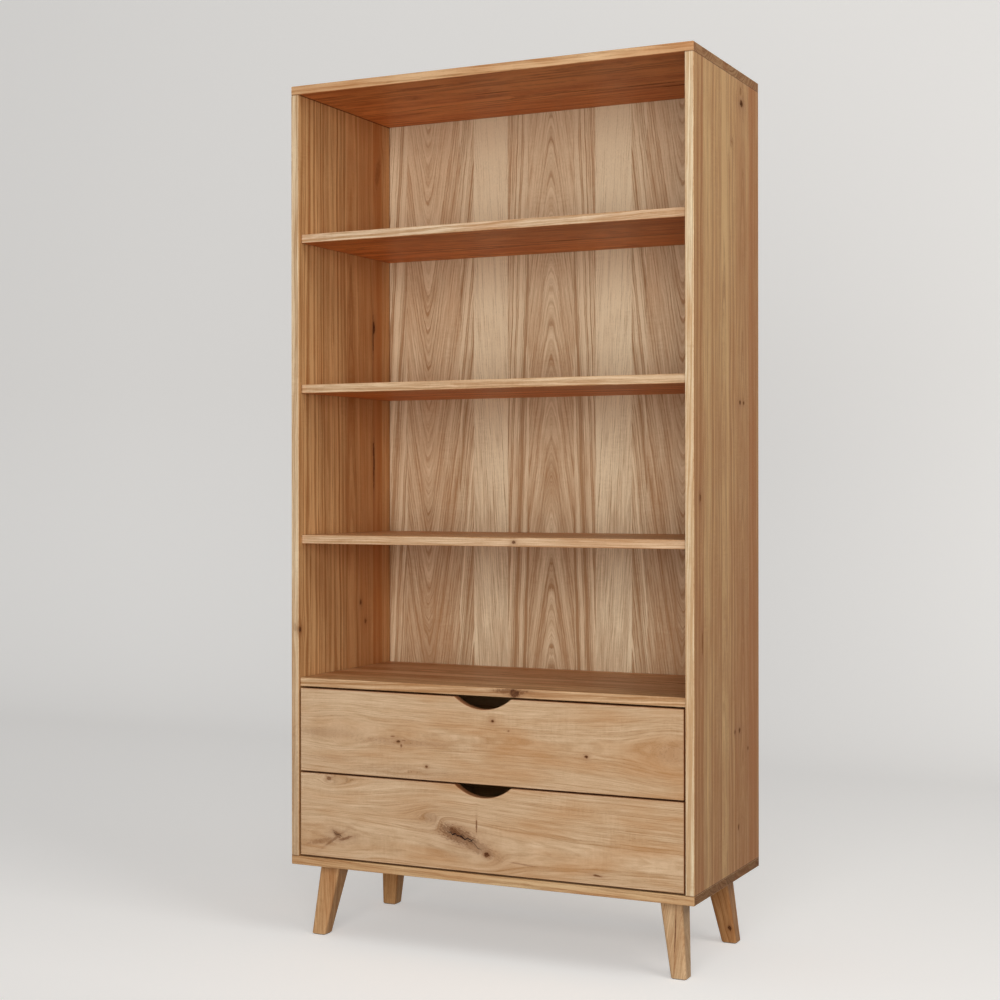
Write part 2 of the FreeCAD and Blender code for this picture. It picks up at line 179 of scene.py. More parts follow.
backdrop = grid_mesh("backdrop", *backdrop_points(
    half_width=14.0, near=-9.0, far=4.2, bend=1.6, height=8.0))
backdrop_paint, tree, shader = new_material("backdrop_paint", 0.85, specular=0.15)
rays = add_node(tree, "LightPath")
seen = calc("MAXIMUM", Wire(rays, "Is Camera Ray"),
            calc("MAXIMUM", Wire(rays, "Is Glossy Ray"), Wire(rays, "Is Transmission Ray")))
floor_y = apart(object_place(tree))["Y"]
under_lamp = Wire(add_node(tree, "MapRange", {
    "Value": floor_y, "From Min": UNDER_LAMP_FROM, "From Max": UNDER_LAMP_TO}), "Result")
seen_paint = blend_colour(under_lamp, PALE_PAINT, PAINT_UNDER_LAMP)
feed(shader.inputs["Base Color"], blend_colour(seen, PAINT_FOR_BOUNCES, seen_paint))
feed(shader.inputs["Emission Strength"], seen * BACKDROP_GLOW)
feed(shader.inputs["Emission Color"], GLOW_COLOUR)
backdrop.data.materials.append(backdrop_paint)

WORLD_LIGHT = 0.24
WORLD_PALE = 0.72

world = bpy.data.worlds.new("studio")
world.use_nodes = True
background = world.node_tree.nodes["Background"]
seen = Wire(add_node(world.node_tree, "LightPath"), "Is Camera Ray")
feed(background.inputs["Color"], (0.96, 0.98, 1.0))
feed(background.inputs["Strength"], seen * (WORLD_PALE - WORLD_LIGHT) + WORLD_LIGHT)
bpy.context.scene.world = world


def soft_light(name, place, aim, width, watts, colour):
    """A square lamp that faces a point."""
    lamp = bpy.data.lights.new(name, "AREA")
    lamp.size = width
    lamp.energy = watts
    lamp.color = colour
    holder = bpy.data.objects.new(name, lamp)
    holder.location = place
    holder.rotation_euler = (Vector(aim) - Vector(place)).to_track_quat("-Z", "Y").to_euler()
    bpy.context.scene.collection.objects.link(holder)
    return holder


DAYLIGHT = (1.0, 0.985, 0.96)
SHADE = (0.98, 0.99, 1.0)

soft_light("front_window", (1.8, -5.4, 1.4), (0.0, 0.0, 1.05), width=3.6, watts=248, colour=DAYLIGHT)
soft_light("right_window", (3.8, -1.4, 4.0), (0.2, 0.0, 1.5), width=2.4, watts=70, colour=DAYLIGHT)
rear_window = soft_light("rear_window", (-3.2, 3.0, 2.4), (0.0, 0.0, 1.0), width=2.8, watts=105,
                         colour=SHADE)
rear_window.visible_camera = False
kept_dark = bpy.data.collections.new("not_lit_from_the_rear")
kept_dark.objects.link(backdrop)
kept_dark.collection_objects[0].light_linking.link_state = "EXCLUDE"
rear_window.light_linking.receiver_collection = kept_dark

camera_place = Vector((1.767, -3.801, 1.058))
camera_forward = Vector((-0.4338, 0.9010, 0.0008))
camera_roll = -0.00091
camera = bpy.data.objects.new("camera", bpy.data.cameras.new("camera"))
camera.data.lens = 64.28
camera.data.sensor_width = 36.0
camera.data.shift_y = -0.015
camera.location = camera_place
camera.rotation_mode = "QUATERNION"
camera.rotation_quaternion = (
    camera_forward.to_track_quat("-Z", "Y") @ Matrix.Rotation(camera_roll, 3, "Z").to_quaternion())
bpy.context.scene.collection.objects.link(camera)
bpy.context.scene.camera = camera
bpy.context.scene.view_settings.view_transform = "Standard"


# ------------------------ side panels
# Two upright boards that carry everything. Each is solid oak, edge-glued from upright staves, oiled, and
# tongued into the top and bottom panels. The grain runs up the board.

MILLIMETRES = 1000.0


def numbers(*titles):
    """Sockets of a group that each carry a number."""
    return dict.fromkeys(titles, "number")


def new_group(name, inputs, outputs):
    """An empty node group with named sockets; gives it, its inputs as wires and its outputs' sockets."""
    kinds = {"number": "NodeSocketFloat", "colour": "NodeSocketColor", "place": "NodeSocketVector"}
    group = bpy.data.node_groups.new(name, "ShaderNodeTree")
    for way, titles in (("INPUT", inputs), ("OUTPUT", outputs)):
        for title, kind in titles.items():
            group.interface.new_socket(title, in_out=way, socket_type=kinds[kind])
    entry = group.nodes.new("NodeGroupInput")
    return group, {title: Wire(entry, title) for title in inputs}, group.nodes.new("NodeGroupOutput").inputs


def put_out(give, **values):
    """Links wires to the outputs of a group."""
    for title, value in values.items():
        feed(give[title], value)


def use_group(tree, group, **inputs):
    """One use of a node group; an underscore in a keyword stands for a space in its socket's name."""
    inputs = {title.replace("_", " "): value for title, value in inputs.items()}
    node = add_node(tree, "Group", inputs, node_tree=group)
    return {socket.name: Wire(node, socket.name) for socket in node.outputs}


def ease(value, start, end):
    """0 at start, 1 at end, and a smooth change between them."""
    return Wire(add_node(value.tree, "MapRange", {"Value": value, "From Min": start, "From Max": end},
                         interpolation_type="SMOOTHSTEP"), "Result")


def place_of(x, y, z):
    """Three wires as one place."""
    return Wire(add_node(x.tree, "CombineXYZ", {"X": x, "Y": y, "Z": z}))


def scaled(place, factors):
    """A place with each coordinate times its own factor."""
    return Wire(add_node(place.tree, "VectorMath", {0: place, 1: factors}, operation="MULTIPLY"))


def noise(place, detail, roughness=0.5, distortion=0.0):
    """Cloudy values from 0 to 1 about the middle of 0.5."""
    return Wire(add_node(place.tree, "TexNoise", {
        "Vector": place, "Scale": 1.0, "Detail": detail, "Roughness": roughness, "Distortion": distortion}))


def growth_rings_group():
    """The figure of oak in the solid: growth rings about a pith that leans a little against the board.

    The distance from the pith, plus the lean times the run along the grain, plus three wanders, is counted
    in rings. Bands are tones that follow the rings and Line is the open, porous start of each; Streaks
    follow them too but fade in and out. Fibre and Pores run straight along the grain, and Curl ripples
    across it.
    """
    group, got, give = new_group("growth_rings", numbers(
        "Along", "Across", "Depth", "Pith Across", "Pith Depth", "Lean", "Ring Width", "Wander", "Ripple",
        "Streak Width", "Seed"), numbers("Bands", "Line", "Streaks", "Fibre", "Pores", "Curl", "Clouds"))
    seed_step = 37.0
    streak_stretch = 34.0
    shifted = got["Seed"] * seed_step + got["Along"]

    def cells(length, width, detail, roughness=0.5, distortion=0.0):
        """Noise whose cells are so many millimetres long along the grain and so many wide across it."""
        return noise(place_of(shifted / length, got["Across"] / width, got["Depth"] / width),
                     detail, roughness, distortion)

    slow = (cells(length=260.0, width=42.0, detail=1.0) - 0.5) * got["Wander"]
    quick = (cells(length=80.0, width=11.0, detail=1.0) - 0.5) * got["Ripple"]
    flutter = (cells(length=24.0, width=6.0, detail=1.0) - 0.5) * (got["Ripple"] * 0.5)
    aside = got["Across"] - got["Pith Across"]
    under = got["Depth"] - got["Pith Depth"]
    radial = calc("SQRT", aside * aside + under * under)
    distance = got["Along"] * got["Lean"] + radial + (slow + quick + flutter)
    rings = distance / got["Ring Width"] + got["Seed"]
    bands = Wire(add_node(group, "TexNoise", {"W": rings, "Scale": 0.36, "Detail": 3.0, "Roughness": 0.62},
                          noise_dimensions="1D"))
    share = calc("FRACT", rings)
    line = ease(share, 0.0, 0.08) * ease(share, 0.42, 0.14) * (ease(bands, 0.38, 0.62) * 0.75 + 0.25)
    streak_run = shifted / (got["Streak Width"] * streak_stretch)
    streaks = noise(place_of(streak_run, distance / got["Streak Width"], got["Seed"]), 3.0, 0.68)
    fleck = cells(length=6.0, width=34.0, detail=2.0, roughness=0.55, distortion=0.4)
    where_flecked = ease(cells(length=140.0, width=55.0, detail=0.0), 0.5, 0.66)
    put_out(give, Bands=bands, Line=line, Streaks=streaks, Curl=(fleck - 0.5) * where_flecked + 0.5,
            Fibre=cells(length=95.0, width=2.4, detail=3.0, roughness=0.68),
            Pores=ease(cells(length=5.5, width=0.42, detail=1.0), 0.54, 0.66),
            Clouds=cells(length=210.0, width=48.0, detail=2.0))
    return group


def knot_group():
    """A knot through a board: an oval core, a halo about it, a split in it, and grain that parts around it.

    With q the squared distance from the centre in half sizes of the core, the grain moves off by
    -across * bend / (q + bend), as water does around a post. Slope turns the oval against the grain, and
    Thickness is how far the knot reaches through the board.
    """
    group, got, give = new_group("knot", numbers(
        "Along", "Across", "Depth", "Centre Along", "Centre Across", "Centre Depth", "Length", "Width",
        "Thickness", "Bend", "Slope", "Dark", "Crack"), numbers("Shift", "Core", "Halo", "Split"))
    along = got["Along"] - got["Centre Along"]
    across = got["Across"] - got["Centre Across"] - along * got["Slope"]
    run = along / (got["Length"] * 0.5)
    side = across / (got["Width"] * 0.5)
    deep = (got["Depth"] - got["Centre Depth"]) / (got["Thickness"] * 0.5)
    q = deep * deep + (run * run + side * side)
    parted = across * got["Bend"] / (q + got["Bend"])
    rough = noise(place_of(along * 0.13 + got["Centre Along"], across / 4.0, got["Depth"] / 7.0), 3.0, 0.62)
    edge = (rough - 0.5) * 1.5 + calc("SQRT", q)
    core = ease(edge, 1.2, 0.45) * (calc("SINE", edge * 13.0) * 0.14 + 0.86)
    fade = calc("DIVIDE", 1.0, q * 0.22 + 1.0)
    wave = noise(place_of(along / 13.0, across / 30.0, got["Centre Along"]), 1.0)
    off_split = abs((wave - 0.5) * 1.6 + side)
    split = ease(off_split, 0.17, 0.05) * ease(abs(run), 1.1, 0.5) * got["Crack"]
    put_out(give, Shift=parted * -1.0, Core=core * got["Dark"], Halo=fade * fade * got["Dark"], Split=split)
    return group


def edge_wear_and_highlight_group():
    """1 along the edges of a box-shaped board and 0 inside its faces.

    Of the distances to the nearest faces along x, y and z, the middle one is small only where two faces
    meet.
    """
    group, got, give = new_group("edge_wear_and_highlight", {"Place": "place", "Low": "place", "High": "place",
                                               "Width": "number"}, numbers("Edge"))
    place, low, high = (apart(got[title]) for title in ("Place", "Low", "High"))
    a, b, c = (calc("MINIMUM", place[axis] - low[axis], high[axis] - place[axis]) for axis in "XYZ")
    middle = calc("MAXIMUM", calc("MINIMUM", a, b), calc("MINIMUM", calc("MAXIMUM", a, b), c))
    rub = noise(scaled(got["Place"], (90.0, 90.0, 90.0)), 3.0, 0.65)
    put_out(give, Edge=ease(middle, got["Width"], 0.0) * ease(rub, 0.35, 0.6))
    return group


PORE = (0.15, 0.07, 0.03)
KNOT_HALO = (0.31, 0.13, 0.05)
KNOT_RIM = (0.21, 0.075, 0.022)
KNOT_HEART = (0.065, 0.020, 0.009)
CRACK = (0.018, 0.010, 0.010)
END_GRAIN = (0.49, 0.41, 0.36)


def oiled_oak_group():
    """Colour, roughness and height of oiled oak from its masks."""
    group, got, give = new_group("oiled_oak", {**numbers(
        "Bands", "Line", "Streaks", "Fibre", "Pores", "Curl", "Clouds", "Tone", "Red", "End Grain", "Core",
        "Halo", "Split", "Edge", "Band Strength", "Line Strength", "Streak Strength", "Patches"),
        "Pale": "colour", "Deep": "colour", "Reddish": "colour"}, {"Colour": "colour", **numbers(
            "Roughness", "Height")})

    def swing(title, amount):
        """A mask's swing about its middle."""
        return (got[title] - 0.5) * amount

    def within(value):
        """Kept between 0 and 1."""
        return calc("MINIMUM", calc("MAXIMUM", value, 0.0), 1.0)

    share = got["Tone"] + 0.40
    for part in (swing("Bands", got["Band Strength"]), swing("Streaks", got["Streak Strength"]),
                 swing("Fibre", 0.60), swing("Curl", 0.35), swing("Clouds", 0.45),
                 got["Line"] * got["Line Strength"]):
        share = share + part
    open_pore = got["Pores"] * (got["Line"] * 0.7 + 0.3)
    colour = blend_colour(within(share), got["Pale"], got["Deep"])
    colour = blend_colour(within(got["Red"] + swing("Clouds", got["Patches"])), colour, got["Reddish"])
    for strength, tint in ((open_pore * 0.40, PORE), (got["Halo"] * 0.75, KNOT_HALO),
                           (got["Core"], KNOT_RIM), (got["Core"] * got["Core"], KNOT_HEART),
                           (got["Split"], CRACK)):
        colour = blend_colour(strength, colour, tint)
    colour = blend_colour(got["End Grain"], colour, END_GRAIN, "MULTIPLY")
    # Painted highlight, partly wear: the edges are paled as rounded edges catch the light.
    colour = blend_colour(got["Edge"] * 0.40, colour, got["Pale"])
    rough = open_pore * 0.22 + 0.43 + got["End Grain"] * 0.14 + got["Edge"] * -0.08
    rough = rough + calc("MAXIMUM", got["Core"], got["Split"]) * 0.55 + swing("Fibre", 0.12)
    height = open_pore * -0.7 + 1.0 + swing("Fibre", 0.35) + got["Split"] * -2.2 + got["Core"] * -0.25
    put_out(give, Colour=colour, Roughness=rough, Height=height)
    return group


growth_rings = growth_rings_group()
knot = knot_group()
edge_wear_and_highlight = edge_wear_and_highlight_group()
oiled_oak = oiled_oak_group()


def finish(shader, colour, roughness, height, strength, depth):
    """Feeds a shader its colour, its roughness and a bump that is so many metres deep."""
    bump = add_node(shader.id_data, "Bump", {"Strength": strength, "Distance": depth, "Height": height})
    surface = {"Base Color": colour, "Roughness": roughness, "Normal": Wire(bump, "Normal")}
    for title, value in surface.items():
        feed(shader.inputs[title], value)


def dress(name, material):
    """Gives a CAD node its finish."""
    for slot in nodes[name].material_slots:
        slot.material = material


LEAN_SPAN = 0.5
DEPTH_SPAN = 100.0
WIDTH_SPAN = 20.0


def stave(tone=0.5, red=0.15, pith=0.5, lean=0.0, depth=40.0, width=2.6, line=0.25, seed=0.5):
    """One stave's wood. Its pith is placed in shares of the stave's width and lies so deep under the middle
    of the board; a positive lean points the figure up or to the right. Ring widths are in millimetres."""
    return {"tone": tone, "red": red, "pith": pith, "lean": lean, "depth": depth, "width": width,
            "line": line, "seed": seed}


def drawn_staves(seed, low, high, width):
    """Borders of staves across a board and their wood, drawn by the seed about a stave width."""
    draw = np.random.default_rng(seed)
    borders = []
    edge = low + width * draw.uniform(0.5, 1.0)
    while edge < high - width * 0.4:
        borders.append(edge)
        edge += width * draw.uniform(0.7, 1.3)
    woods = [stave(0.5 + draw.uniform(-0.2, 0.2), draw.uniform(0.0, 0.3), draw.uniform(-0.2, 1.2),
                   draw.uniform(-0.02, 0.02), draw.uniform(25.0, 80.0), draw.uniform(2.0, 3.4),
                   draw.uniform(0.15, 0.4), draw.uniform(0, 1)) for _ in range(len(borders) + 1)]
    return borders, woods


def steps_across(across, edges, colours):
    """A ramp across the board that holds one colour for each stave; gives its four channels."""
    share = Wire(add_node(across.tree, "MapRange", {"Value": across, "From Min": edges[0],
                                                    "From Max": edges[-1]}), "Result")
    ramp = add_node(across.tree, "ValToRGB", {"Fac": share})
    ramp.color_ramp.interpolation = "CONSTANT"
    steps = ramp.color_ramp.elements
    while len(steps) < len(colours):
        steps.new(1.0)
    while len(steps) > len(colours):
        steps.remove(steps[-1])
    for step, edge in zip(steps, edges):
        step.position = (edge - edges[0]) / (edges[-1] - edges[0])
    for step, colour in zip(steps, colours):
        step.color = colour
    split = add_node(across.tree, "SeparateColor", {"Color": Wire(ramp, "Color")})
    return [Wire(split, title) for title in ("Red", "Green", "Blue")] + [Wire(ramp, "Alpha")]


def stave_values(across, edges, woods, middle):
    """Wires that carry each stave's values across the board, unpacked to their real sizes."""
    span = edges[-1] - edges[0]
    first = []
    second = []
    for start, end, wood in zip(edges[:-1], edges[1:], woods):
        pith = (start + wood["pith"] * (end - start) - edges[0]) / span
        first.append((wood["tone"], (pith + 1.0) / 3.0, wood["seed"], wood["red"]))
        second.append((wood["lean"] / LEAN_SPAN / 2 + 0.5, wood["depth"] / DEPTH_SPAN,
                       wood["width"] / WIDTH_SPAN, wood["line"]))
    tone, pith, seed, red = steps_across(across, edges, first)
    lean, depth, width, line = steps_across(across, edges, second)
    return {"tone": tone, "red": red, "seed": seed, "line": line,
            "pith": pith * (3.0 * span) + (edges[0] - span), "lean": lean * (2 * LEAN_SPAN) - LEAN_SPAN,
            "depth": depth * DEPTH_SPAN + middle, "width": width * WIDTH_SPAN}


RIGHT_THROUGH = 1e5


def mark(along, across, length, width, dark=0.85, crack=0.0, bend=2.2, slope=0.0, depth=0.0,
         thickness=RIGHT_THROUGH):
    """A knot or a dark mark in a board, in millimetres from the origin, with how far it bends the grain."""
    return {"Centre_Along": along, "Centre_Across": across, "Centre_Depth": depth, "Length": length,
            "Width": width, "Thickness": thickness, "Dark": dark, "Crack": crack, "Bend": bend,
            "Slope": slope}


def facing(direction):
    """1 where a face's normal lies along an axis, from how much of it does."""
    return ease(direction, 0.6, 0.9)


BLEACHED = (1.35, 1.98, 3.20)
GAP_SHADE = (0.31, 0.098, 0.025)
UNDERSIDE_SHADE_TINT = (1.13, 0.71, 0.45)
JOINT_GAP_AND_SHADE = (0.34, 0.24, 0.19)
JOINT_SHADE_REACH = 3.0
JOINT_CORE = 0.2
SHEEN = 0.08
EDGE_WIDTH = 0.0022
SEED_SPAN = 90.0
BAND_GAIN = 4.0


def oak_board(name, order, staves, marks=(), pale=(0.74, 0.455, 0.225), deep=(0.41, 0.195, 0.072),
              reddish=(0.48, 0.17, 0.045), bands=1.0, streaks=1.2, wander=9.0, ripple=3.0, streak_width=4.0,
              patches=0.6, tone=0.0, foot=0.0, bleach=0.0, darkening=0.0, underside_shade=0.0, ends=1.0, mirror=None,
              joints=(), joint_side=0):
    """The wood of one board, which is a CAD node: it is drawn in the solid, so faces, edges and ends agree.

    The order names the axes along the grain, across the face and through the thickness. The staves are a
    seed and a width, or borders and a list of woods. With a mirror, the figure is the same to both sides of
    that line. Foot is how much deeper the tone is at the low end than at the high one; on an upright board
    that is painted shade, darker towards the bottom. Bleach pales the narrow faces. The amount that darkens
    the narrow faces and the ends turns them dark red-brown: painted shade for the gaps round the drawer
    fronts. The amount for the faces that look down or inwards makes them redder and deeper: painted shade,
    where only warm light bounced off the oak reaches. Ends is how dark the end grain is. Joints lists the
    axis and the place of each thin dark line along which another board meets this one: a fine joint gap
    with painted contact shade about it. Joint side is -1 where only the faces that look down or inwards
    have them.
    """
    low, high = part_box(name)
    material, tree, shader = new_material(name + "_oak", 0.45, specular=SHEEN)
    coordinates = add_node(tree, "TexCoord")
    place = Wire(coordinates, "Object")
    axes = apart(place)
    normal = apart(Wire(coordinates, "Normal"))
    along, across, depth = (axes[axis] * MILLIMETRES for axis in order)
    end_normal, edge_normal, face_normal = (normal[axis] for axis in order)
    spans = {axis: (start * MILLIMETRES, end * MILLIMETRES) for axis, start, end in zip("XYZ", low, high)}
    foot_end, head_end = spans[order[0]]
    face_low, face_high = spans[order[1]]
    middle = sum(spans[order[2]]) / 2
    if mirror is not None:
        across = abs(across - mirror)
        face_low, face_high = 0.0, max(face_high - mirror, mirror - face_low)
    if isinstance(staves[0], int):
        staves = drawn_staves(staves[0], face_low, face_high, staves[1])
    borders, woods = staves
    wood = stave_values(across, [face_low, *borders, face_high], woods, middle)
    grain_across = across
    masks = {"Core": 0.0, "Halo": 0.0, "Split": 0.0}
    for found in marks:
        spot = use_group(tree, knot, Along=along, Across=across, Depth=depth, **found)
        grain_across = grain_across + spot["Shift"]
        masks = {title: calc("MAXIMUM", mask, spot[title]) for title, mask in masks.items()}
    rings = use_group(tree, growth_rings, Along=along, Across=grain_across, Depth=depth,
                      Pith_Across=wood["pith"], Pith_Depth=wood["depth"], Lean=wood["lean"],
                      Ring_Width=wood["width"], Wander=wander, Ripple=ripple, Streak_Width=streak_width,
                      Seed=wood["seed"] * SEED_SPAN)
    edge = use_group(tree, edge_wear_and_highlight, Place=place, Low=low, High=high, Width=EDGE_WIDTH)
    length = head_end - foot_end
    rise = along / length - (head_end + foot_end) / 2 / length
    oak = use_group(tree, oiled_oak, **rings, **masks, Tone=rise * -foot + (wood["tone"] + (tone - 0.5)),
                    Red=wood["red"], End_Grain=facing(abs(end_normal)) * ends, Edge=edge["Edge"],
                    Band_Strength=wood["line"] * (bands * BAND_GAIN), Line_Strength=wood["line"],
                    Streak_Strength=streaks, Patches=patches, Pale=pale, Deep=deep, Reddish=reddish)
    colour = oak["Colour"]
    # Painted shade: faces that look down or inwards are made redder and deeper, where only warm light
    # bounced off the oak reaches.
    if underside_shade:
        colour = blend_colour(facing(face_normal * -1.0) * underside_shade, colour, UNDERSIDE_SHADE_TINT, "MULTIPLY")
    if bleach:
        colour = blend_colour(facing(abs(edge_normal)) * bleach, colour, BLEACHED, "MULTIPLY")
    # Painted shade: the narrow faces and ends turn dark red-brown, so the gaps round the drawer fronts look
    # dark.
    if darkening:
        around = calc("SUBTRACT", 1.0, facing(abs(face_normal)))
        colour = blend_colour(around * darkening, colour, GAP_SHADE)
    # Thin dark lines where other boards meet: a fine joint gap at the core, with painted contact shade in
    # the soft band about it.
    for axis, at in joints:
        line = ease(abs(axes[axis] * MILLIMETRES - at), JOINT_SHADE_REACH, JOINT_CORE)
        if joint_side:
            line = line * facing(face_normal * joint_side)
        colour = blend_colour(line, colour, JOINT_GAP_AND_SHADE, "MULTIPLY")
    finish(shader, colour, oak["Roughness"], oak["Height"], strength=0.5, depth=0.00025)
    dress(name, material)


right_side_staves = ([-164, -113, -43, 4, 57, 151, 204], [
    stave(0.84, 0.26, 1.4, 0.010, 60, 3.0, line=0.35, seed=0.13),
    stave(0.46, 0.10, -0.6, -0.008, 70, 2.8, line=0.30, seed=0.37),
    stave(0.66, 0.16, 1.6, 0.006, 80, 3.2, line=0.35, seed=0.61),
    stave(0.38, 0.10, 0.3, 0.012, 45, 3.4, line=0.30, seed=0.84),
    stave(0.58, 0.24, 1.5, -0.010, 60, 3.0, line=0.35, seed=0.22),
    stave(0.64, 0.32, 0.5, 0.020, 35, 3.6, line=0.30, seed=0.47),
    stave(0.88, 0.70, -0.4, 0.010, 70, 3.0, line=0.35, seed=0.73),
    stave(0.62, 0.46, 1.2, 0.010, 60, 2.8, line=0.30, seed=0.91)])
left_side_staves = ([-171, -117, -65, -4, 58, 126, 171], [
    stave(0.52, 0.10, 1.5, 0.006, 60, 4.2, line=0.65, seed=0.05),
    stave(0.46, 0.12, -0.5, 0.004, 70, 3.8, line=0.75, seed=0.29),
    stave(0.52, 0.12, 1.4, -0.005, 60, 4.0, line=0.70, seed=0.55),
    stave(0.50, 0.16, -0.7, 0.006, 80, 3.8, line=0.60, seed=0.81),
    stave(0.54, 0.34, 0.4, 0.016, 40, 4.0, line=0.40, seed=0.33),
    stave(0.58, 0.46, 1.4, -0.010, 60, 3.2, line=0.35, seed=0.69),
    stave(0.80, 0.72, -0.4, 0.006, 70, 3.0, line=0.40, seed=0.17),
    stave(0.50, 0.30, 1.4, 0.006, 60, 3.4, line=0.40, seed=0.42)])
SIDE_JOINTS = (("Z", 190), ("Z", 1980))
# The right side is deeper towards the bottom: painted shade, where the light falls off downwards.
oak_board("side_right", "ZYX", right_side_staves, marks=[
    mark(1929, 98, 17, 24, 1.0), mark(1955, 93, 22, 16, 0.35), mark(1248, 87, 12, 13, 0.85),
    mark(1248, 113, 10, 12, 0.75), mark(1034, -186, 22, 12, 0.7), mark(723, -172, 60, 8, 0.5),
    mark(505, 81, 13, 13, 0.8), mark(505, 48, 10, 10, 0.7), mark(456, 142, 11, 12, 0.6),
    mark(287, 73, 18, 9, 0.7), mark(1828, 28, 30, 22, 0.15, slope=0.4)],
    pale=(0.755, 0.475, 0.215), deep=(0.415, 0.190, 0.066), bands=1.1, streaks=1.5, ripple=2.0,
    streak_width=3.4, foot=0.4, bleach=1.0, joints=SIDE_JOINTS)
oak_board("side_left", "ZYX", left_side_staves, marks=[
    mark(1460, 131, 34, 14, 1.0), mark(1436, 127, 120, 6, 0.9, bend=1.2),
    mark(1112, 131, 130, 7, 1.0, bend=1.2), mark(1150, 129, 50, 10, 0.8), mark(770, 64, 18, 12, 0.7),
    mark(721, 87, 14, 12, 0.6), mark(722, -220, 17, 14, 1.0, depth=-479, thickness=9),
    mark(727, -224, 22, 12, 0.3, depth=-490, thickness=12),
    mark(330, -226, 420, 40, 0.22, bend=0.0, depth=-491, thickness=20),
    mark(1855, 152, 80, 26, 0.35, slope=0.2), mark(1665, 150, 30, 24, 0.5)],
    pale=(0.72, 0.43, 0.195), deep=(0.385, 0.175, 0.060), bands=1.3, streaks=1.5, ripple=2.0,
    streak_width=3.2, tone=-0.05, bleach=0.60, joints=SIDE_JOINTS)


# ------------------------ top and bottom panels
# Two full-width boards, the same oak with its grain running across the bookcase. Their ends are end grain,
# darker because it drinks more oil, and they show past the sides.

STAVE_WIDTH = 62.0
BOARD_JOINTS = (("X", -480), ("X", 480), ("Y", 212))
# The top panel's underside is painted redder and deeper: painted shade, where only warm bounced light
# reaches.
oak_board("top_panel", "XYZ", (21, STAVE_WIDTH), marks=[
    mark(-60, -40, 110, 8, 0.6, crack=0.5), mark(120, 30, 90, 7, 0.6, crack=0.4),
    mark(300, 40, 150, 7, 0.8), mark(360, 75, 110, 9, 0.7), mark(-330, 90, 60, 8, 0.4)],
    bands=2.4, streaks=3.2, streak_width=3.0, patches=1.4, tone=-0.04, bleach=0.12, underside_shade=0.9, ends=0.72,
    joints=BOARD_JOINTS, joint_side=-1)
oak_board("bottom_panel", "XYZ", (22, STAVE_WIDTH), pale=(0.68, 0.44, 0.215), deep=(0.38, 0.19, 0.075),
          bands=2.2, streaks=2.9, streak_width=2.6, patches=1.2, tone=0.12, bleach=0.12)


# ------------------------ divider and shelves
# Four fixed boards between the sides, tongued at their ends. The divider over the drawers stands almost at
# the front; the shelves stand back a little. Their front edges are pale and show the rings as long lines.

oak_board("divider_shelf", "XYZ", (31, STAVE_WIDTH), marks=[
    mark(77, -223, 34, 26, 1.0, depth=600, thickness=26),
    mark(70, -223, 120, 20, 0.6, depth=603, thickness=16)],
    bands=1.8, streaks=2.2, streak_width=2.6, tone=0.05, bleach=0.20, joints=BOARD_JOINTS)
# The shelves' undersides are painted redder and deeper: painted shade, where only warm bounced light
# reaches.
oak_board("shelf_lower", "XYZ", (32, STAVE_WIDTH), marks=[
    mark(72, -214, 12, 10, 0.9, depth=934, thickness=9)],
    bands=1.8, streaks=2.8, streak_width=2.8, tone=-0.19, bleach=0.38, underside_shade=1.0, joints=BOARD_JOINTS)
oak_board("shelf_middle", "XYZ", (33, STAVE_WIDTH), bands=2.0, streaks=2.5, streak_width=2.8, bleach=0.31,
          underside_shade=1.0, joints=BOARD_JOINTS)
oak_board("shelf_upper", "XYZ", (34, STAVE_WIDTH), marks=[mark(100, 20, 90, 10, 0.5, crack=0.3)], bands=2.2,
          streaks=3.0, streak_width=2.8, patches=1.2, tone=-0.05, bleach=0.54, underside_shade=1.0,
          joints=BOARD_JOINTS)


# ------------------------ back panel
# A thin board faced with oak veneer, which stands in a groove all round. The leaves of veneer are upright
# and opened like a book about one line, so pointed figures and straight stripes take turns to both sides.

MATCH_LINE = -25.0
veneer_leaves = ([60, 118, 211, 252, 402], [
    stave(0.52, 0.26, 0.0, 0.13, 8, 6.5, line=0.38, seed=0.21),
    stave(0.54, 0.20, -1.0, 0.035, 12, 5.0, line=0.85, seed=0.21),
    stave(0.24, 0.00, 1.3, 0.05, 26, 5.0, line=0.26, seed=0.64),
    stave(0.52, 0.16, -1.0, 0.09, 30, 5.0, line=0.85, seed=0.35),
    stave(0.56, 0.30, 0.60, -0.14, 8, 6.5, line=0.48, seed=0.35),
    stave(0.50, 0.22, 1.5, -0.06, 30, 6.0, line=0.75, seed=0.35)])
# The broad faint mark at the top is painted shade under the top panel, and the veneer is deeper towards the
# bottom: painted shade as well.
oak_board("back_panel", "ZXY", veneer_leaves, marks=[mark(1990, 0, 420, 1500, 0.10, bend=0.0)],
          pale=(0.80, 0.655, 0.450), deep=(0.36, 0.215, 0.110), reddish=(0.53, 0.275, 0.13), bands=0.72,
          streaks=1.9, wander=7.0, ripple=3.4, streak_width=2.6, patches=0.4, tone=0.01, foot=0.60,
          mirror=MATCH_LINE, joints=(("X", -480), ("X", 480)), joint_side=-1)


# ------------------------ legs
# Four square tapers of solid oak that lean outwards, with rounded edges and the grain along them. They
# differ a little in tone. A bolt in the top of each turns into a threaded insert in the bottom panel.

